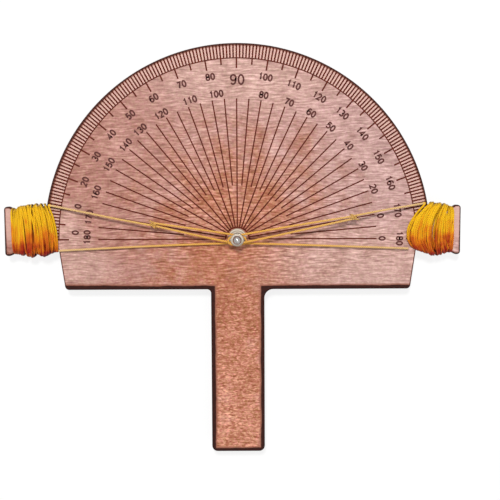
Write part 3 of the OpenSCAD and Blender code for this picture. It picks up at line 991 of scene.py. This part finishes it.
def tieKnot(name, cord):
    t = np.linspace(0, 2 * math.pi, knotForm["loopSteps"], endpoint=False)
    spare = knotForm["cord"] / 2
    # a trefoil loop, scaled so that the cord's outside has the knot's size
    loop = np.stack([
        (np.sin(t) + 2 * np.sin(2 * t)) / 3 * (knotForm["length"] / 2 - spare),
        (np.cos(t) - 2 * np.cos(2 * t)) / 3 * (knotForm["width"] / 2 - spare),
        -np.sin(3 * t) * (knotForm["height"] / 2 - spare),
    ], axis=1) + [cord["knot"], 0, 0]
    parts = [layCord(name, turned(loop, cord["rest"], cord["level"]), knotForm["cord"], True)]
    dice = np.random.default_rng(knotForm["seed"])
    fibres = []
    for tail in knotForm["tails"]:
        points = [(a + cord["knot"], b, c) for a, b, c in tail]
        path = smoothPath(turned(points, cord["rest"], cord["level"]), knotForm["tailStep"])
        parts.append(layCord(name, path, knotForm["tail"]))
        ahead = (path[-1] - path[-2]) / np.linalg.norm(path[-1] - path[-2])
        for _ in range(knotForm["fibres"]):
            start = path[-2] + dice.normal(0, knotForm["fibreSpread"], 3)
            bend = dice.normal(0, knotForm["fibreBend"], 3)
            length = knotForm["fibreLength"] * dice.uniform(0.5, 1)
            steps = np.linspace(0, length, knotForm["fibreSteps"])[:, None]
            fibres.append(start + ahead * steps + bend * steps ** 2 / knotForm["fibreLength"])
    parts.append(sweep(name + "Fibres", fibres, {
        "Diameter": knotForm["fibre"] * mm, "Sides": knotForm["fibreSides"],
        "Material": knottedCord,
    }))
    knot = addPiece(name, joinMeshes(name, parts))
    dress(knot, knottedCord)
    return knot


leftKnot = tieKnot("leftNooseKnot", leftCord)
rightKnot = tieKnot("rightNooseKnot", rightCord)
print("knots tied")


# windings: cord wound on each ear in even layers, then in a few loose ones that cross them
windingForm = {
    "cord": 1.05,  # mm, pulled thinner than the free cord
    "sides": 8,
    "stepsPerTurn": 44,
    "evenLayers": 2, "evenTurns": 18, "evenStray": 1.2,  # mm
    "looseLayers": 4, "looseTurns": 15, "looseStray": 3.2,
    "spread": 0.6,  # how far most turns go astray, as a share of the stray
    "lift": 0.09,  # share of the pile by which a turn lies higher or lower than its layer
    "neckHalfWidth": boardOutline["neck"], "neckHalfDepth": boardOutline["halfSheet"],
    "middleY": boardOutline["earMiddle"], "middleZ": -boardOutline["halfSheet"],
    "above": 5.2, "below": 4.5, "proud": 4.85,  # mm that the pile stands out at its fullest
    "taper": {  # how much it thins, and from which share of its length to which
        "above": [(0.5, 0.5, 1)],
        "below": [(0.5, 0.6, 1), (0.75, 0.4, 0)],
        "proud": [(0.35, 0.6, 1), (0.3, 0.25, 0)],
    },
    "topStart": 118.2, "bottomStart": 110.9,  # where the dial leaves room for the first turn
    "boxy": (0.5, 0.6),  # 1 is an ellipse round the neck, 0 a rectangle
}
leftWinding = {
    "side": -1, "outer": 138.0, "seed": 3,
    "corner": 2.2, "slope": 1.4, "bow": 1.2,  # mm that the first turns lean over the dial
}
rightWinding = {
    "side": 1, "outer": 132.0, "seed": 11,
    "corner": 4.2, "slope": 0.4, "bow": 6.2,
}


def ease(x, start, end):
    t = np.clip((x - start) / (end - start), 0, 1)
    return t * t * (3 - 2 * t)


def pileOf(form, side, share):
    thinned = 1
    for loss, start, end in form["taper"][side]:
        thinned = thinned - loss * ease(share, start, end)
    return form[side] * thinned


def windingPath(ear):
    form = {**windingForm, **ear}
    dice = np.random.default_rng(form["seed"])
    layers = [(form["evenTurns"], form["evenStray"])] * form["evenLayers"]
    layers += [(form["looseTurns"], form["looseStray"])] * form["looseLayers"]
    length = form["outer"] - form["topStart"]
    turns, shares, levels, strays = [], [], [], []
    done = 0
    for number, (count, stray) in enumerate(layers):
        t = np.arange(0, count, 1 / form["stepsPerTurn"])
        run = t / count
        turns.append(done + t)
        shares.append(run if number % 2 == 0 else 1 - run)
        levels.append((number + run) / len(layers))
        strays.append(np.full(len(t), stray / length))
        done += count
    turn, share, level, stray = map(np.concatenate, (turns, shares, levels, strays))
    # a strand runs straight over each face and changes its way at the neck's edges
    ends = np.arange(2 * done + 2) / 2
    share = share + stray * np.interp(turn, ends, dice.normal(0, form["spread"], len(ends)))
    share = np.abs(share)
    share = 1 - np.abs(1 - share)
    lift = np.interp(turn, ends, dice.uniform(-form["lift"], form["lift"], len(ends)))
    level = np.clip(level + lift, 0, 1)
    angle = 2 * math.pi * turn
    high = np.sign(np.cos(angle)) * np.abs(np.cos(angle)) ** form["boxy"][0]
    front = np.sign(np.sin(angle)) * np.abs(np.sin(angle)) ** form["boxy"][1]
    top, bottom, proud = [pileOf(form, side, share) for side in ("above", "below", "proud")]
    r = form["cord"] / 2
    pile = bottom + (top - bottom) * (high + 1) / 2
    y = form["middleY"] + high * (form["neckHalfWidth"] + r + level * np.maximum(pile - 2 * r, 0))
    z = form["middleZ"] + front * (form["neckHalfDepth"] + r + level * (proud - 2 * r))
    start = form["bottomStart"] + (form["topStart"] - form["bottomStart"]) * (high + 1) / 2
    lean = form["corner"] + form["slope"] * high + form["bow"] * (1 - high ** 2)
    start = start - lean * np.clip(front, 0, 1) ** 2
    x = start + (form["outer"] - start) * share
    return np.stack([form["side"] * x, y, z], axis=1)


def windEar(name, ear):
    path = windingPath(ear)
    size = {"Diameter": windingForm["cord"] * mm, "Sides": windingForm["sides"]}
    piece = addPiece(name, sweep(name, [path], {**size, "Material": woundCord}))
    print(name, "holds", round(distanceAlong(path)[-1] * mm, 2), "m of cord")
    return piece


leftWound = windEar("leftWoundCord", leftWinding)
rightWound = windEar("rightWoundCord", rightWinding)


# the stretch of cord that each arm draws off its winding as it swings
drawnOff = {
    "left": [(-110.6, -7.5, 0.9), (-110.4, -2, 1.2), (-111, 6, 1.4), (-112.6, 14, 1.8)],
    "right": [(109.6, -6.4, 0.9), (104.9, -1.6, 1.2), (104.4, 6, 1.5), (108.4, 14, 2)],
    "step": 0.25,  # mm between rings
}


def drawOff(name, points, cord):
    # the stretch runs on a little way inside the arm's own cord
    end = cord["path"][0] / mm
    before = cord["path"][2] / mm
    path = smoothPath(points + [tuple(end)] + [tuple(2 * before - end)], drawnOff["step"])
    piece = addPiece(name, layCord(name, path))
    dress(piece, woundCord)
    return piece, path * mm


leftDrawn, leftDrawnPath = drawOff("leftCordDrawnOff", drawnOff["left"], leftCord)
rightDrawn, rightDrawnPath = drawOff("rightCordDrawnOff", drawnOff["right"], rightCord)
print("windings wound")


# figures on the dial, drawn in single strokes
figureForm = {
    "width": 2.0,  # mm between the middles of the outer strokes
    "height": 3.55,
    "stroke": 0.98,
    "advance": 3,  # mm from one figure of a number to the next
    "bowlStep": 18,  # degrees
    "proud": 0.02,
    "sunk": 0.12,
    "outerRadius": 99.5,
    "outerDrift": {  # degrees by which a number stands off its mark
        0: 2.5, 10: 1, 20: 0.9, 30: 0.6, 50: -0.35, 60: -0.3, 70: 0.5, 80: 0.8,
        90: 0.23, 100: 0.1, 110: 0.3, 120: 0.2,
    },
    "innerDrift": {
        180: 0.9, 170: -1.4, 160: -1.5, 150: 0.35, 140: 0.4, 130: -1.35, 120: -1,
        110: 1.4, 100: 2.0, 80: 0.65, 70: 1, 60: 0.65,
    },
    "innerRadius": 88.8,
    "otherRadii": {180: 92.2, 170: 91.8, 160: 90.8, 150: 90.3},
    "middle": {"scale": 1.56, "radius": 96.6, "stroke": 1.08},  # the large 90
}


def bowl(x, y, across, up, start, end):
    # an elliptical stroke from one angle to another, in degrees
    count = max(4, int(abs(end - start) / figureForm["bowlStep"]))
    angles = np.radians(np.linspace(start, end, count + 1))
    return [(x + across * math.cos(a), y + up * math.sin(a)) for a in angles]


# strokes of each figure in a box from -1 to 1 both ways
figureStrokes = {
    "0": [bowl(0, 0, 1, 1, 90, 450)],
    "1": [[(-0.55, 0.55), (0.25, 1), (0.25, -1)]],
    "2": [bowl(0, 0.45, 0.95, 0.55, 165, -25) + [(-1, -1), (1, -1)]],
    "3": [bowl(0, 0.5, 0.88, 0.5, 150, -90), bowl(0, -0.5, 1, 0.5, 90, -155)],
    "4": [[(0.45, -1), (0.45, 1), (-1, -0.42), (1, -0.42)]],
    "5": [[(0.85, 1), (-0.65, 1), (-0.85, 0.05)] + bowl(0, -0.35, 1, 0.65, 130, -155)],
    "6": [bowl(0, -0.4, 1, 0.6, 90, 450), bowl(0.1, -0.1, 1.1, 1.1, 48, 195)],
    "7": [[(-1, 1), (1, 1), (0.1, -0.2), (-0.3, -1)]],
    "8": [bowl(0, 0.5, 0.85, 0.5, 90, 450), bowl(0, -0.48, 1, 0.52, 90, 450)],
    "9": [bowl(0, 0.4, 1, 0.6, 90, 450), bowl(-0.1, 0.1, 1.1, 1.1, 228, 375)],
}


def ribbon(points, width):
    # a closed strip of even width, mitred at its corners, a little proud of the face
    p = np.array(points, float)
    before = np.concatenate([[2 * p[0] - p[1]], p[:-1]])
    after = np.concatenate([p[1:], [2 * p[-1] - p[-2]]])
    if np.allclose(p[0], p[-1]):
        before[0], after[-1] = p[-2], p[1]
    a = (p - before) / np.linalg.norm(p - before, axis=1)[:, None]
    b = (after - p) / np.linalg.norm(after - p, axis=1)[:, None]
    t = (a + b) / np.linalg.norm(a + b, axis=1)[:, None]
    half = width / 2 / np.maximum((a * t).sum(1), 0.5)[:, None]
    side = np.stack([-t[:, 1], t[:, 0]], axis=1) * half
    n = len(p)
    rows = [(p + side, figureForm["proud"]), (p - side, figureForm["proud"]),
            (p - side, -figureForm["sunk"]), (p + side, -figureForm["sunk"])]
    vertices = [(x, y, z) for row, z in rows for x, y in row]
    faces = [(3 * n, 2 * n, n, 0), (n - 1, 2 * n - 1, 3 * n - 1, 4 * n - 1)]
    for k in range(n - 1):
        for row in range(4):
            u, v = row * n, (row + 1) % 4 * n
            faces.append((u + k, v + k, v + k + 1, u + k + 1))
    return vertices, faces


def cutFigure(words, heading, radius, scale=1.0, stroke=figureForm["stroke"]):
    # heading is the direction from the pin in degrees, tops outward
    vertices, faces = [], []
    wide, tall = figureForm["width"] / 2 * scale, figureForm["height"] / 2 * scale
    first = -(len(words) - 1) / 2
    for k, digit in enumerate(words):
        shift = (first + k) * figureForm["advance"] * scale
        for line in figureStrokes[digit]:
            points = [(x * wide + shift, y * tall) for x, y in line]
            more, quads = ribbon(points, stroke)
            faces += [tuple(len(vertices) + i for i in quad) for quad in quads]
            vertices += more
    mesh = meshOf("figure", np.array(vertices) * mm, [], faces)
    mesh.shade_flat()
    mesh.transform(Matrix.Translation((0, radius * mm, 0)))
    mesh.transform(Matrix.Rotation(math.radians(heading - 90), 4, "Z"))
    return mesh


def cutFigures():
    figures = []
    middle = figureForm["middle"]
    for mark in range(0, 181, 10):
        heading = 180 - mark - figureForm["outerDrift"].get(mark, 0)
        if mark == 90:
            figures.append(
                cutFigure("90", heading, middle["radius"], middle["scale"], middle["stroke"])
            )
            continue
        figures.append(cutFigure(str(mark), heading, figureForm["outerRadius"]))
        heading = mark - figureForm["innerDrift"].get(mark, 0)
        radius = figureForm["otherRadii"].get(mark, figureForm["innerRadius"])
        figures.append(cutFigure(str(mark), heading, radius))
    return addPiece("dialFigures", joinMeshes("dialFigures", figures))


figures = cutFigures()
dress(figures, burnt)
print("figures cut:", len(figures.data.polygons), "faces")


# floor and light
studio = {
    "floor": "#fbfbfa",
    "floorLevel": -11.05 * mm,
    "floorHalf": 4,  # m
    "floorRoughness": 0.9,
    "floorGlow": 0.82,  # share of plain white that the camera sees in the floor
    "world": 0.42,
    "keyLight": {"place": (-0.1, 0.7, 1.4), "size": 0.24, "power": 19.5},
    "fillLight": {"place": (0.5, -0.6, 1.2), "size": 1.2, "power": 3},
}

half, level = studio["floorHalf"], studio["floorLevel"]
corners = [(x * half, y * half, level) for x, y in ((-1, -1), (1, -1), (1, 1), (-1, 1))]
floor = addPiece("studioFloor", meshOf("studioFloor", corners, [], [(0, 1, 2, 3)]))
# pale matt paint, which the camera sees as nearly white
floorPaint, floorTree = startMaterial("paleStudioFloor")
matt = addNode(
    floorTree, "ShaderNodeBsdfPrincipled", None,
    {"Base Color": linear(studio["floor"]), "Roughness": studio["floorRoughness"]},
)[0]
glow = addNode(floorTree, "ShaderNodeEmission", None, [(1, 1, 1, 1), 1.0])[0]
looked = addNode(floorTree, "ShaderNodeLightPath")["Is Camera Ray"]
bright = addNode(floorTree, "ShaderNodeMath", "MULTIPLY", [looked, studio["floorGlow"]])[0]
lit = addNode(floorTree, "ShaderNodeMixShader", None, [bright, matt, glow])[0]
addNode(floorTree, "ShaderNodeOutputMaterial", None, [lit])
dress(floor, floorPaint)

world = bpy.data.worlds.new("studioWorld")
world.use_nodes = True
bpy.context.scene.world = world
sky = world.node_tree
sky.nodes.clear()
lighting = addNode(sky, "ShaderNodeBackground", None, [(1, 1, 1, 1), studio["world"]])[0]
backdrop = addNode(sky, "ShaderNodeBackground", None, [(1, 1, 1, 1), 1.0])[0]
rays = addNode(sky, "ShaderNodeLightPath")
seen = addNode(
    sky, "ShaderNodeMath", "MAXIMUM", [rays["Is Camera Ray"], rays["Is Glossy Ray"]]
)[0]
shown = addNode(sky, "ShaderNodeMixShader", None, [seen, lighting, backdrop])[0]
addNode(sky, "ShaderNodeOutputWorld", None, [shown])

for name in ("keyLight", "fillLight"):
    lamp = bpy.data.lights.new(name, "AREA")
    lamp.size = studio[name]["size"]
    lamp.energy = studio[name]["power"]
    place = Vector(studio[name]["place"])
    aimed = (-place).to_track_quat("-Z", "Y").to_matrix().to_4x4()
    addPiece(name, lamp).matrix_world = Matrix.Translation(place) @ aimed

bpy.context.scene.view_settings.view_transform = "Standard"
print("studio lit")


# what each piece rides on and stands for; the drawn-off stretches only have their placing baked
# into their meshes
for piece, body, node, slot in (
    (leftSwing, "left_arm", "left_cord", "cord"),
    (leftKnot, "left_arm", "left_knot", "cord"),
    (rightSwing, "right_arm", "right_cord", "cord"),
    (rightKnot, "right_arm", "right_knot", "cord"),
    (lowerRun, "base", "lower_cord", "cord"),
    (leftWound, "base", "left_winding", "wound_cord"),
    (rightWound, "base", "right_winding", "wound_cord"),
):
    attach(piece, body)
    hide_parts(node)

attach(figures, "base")
for piece, body, path in (
    (leftDrawn, "left_arm", leftDrawnPath), (rightDrawn, "right_arm", rightDrawnPath)
):
    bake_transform(piece)
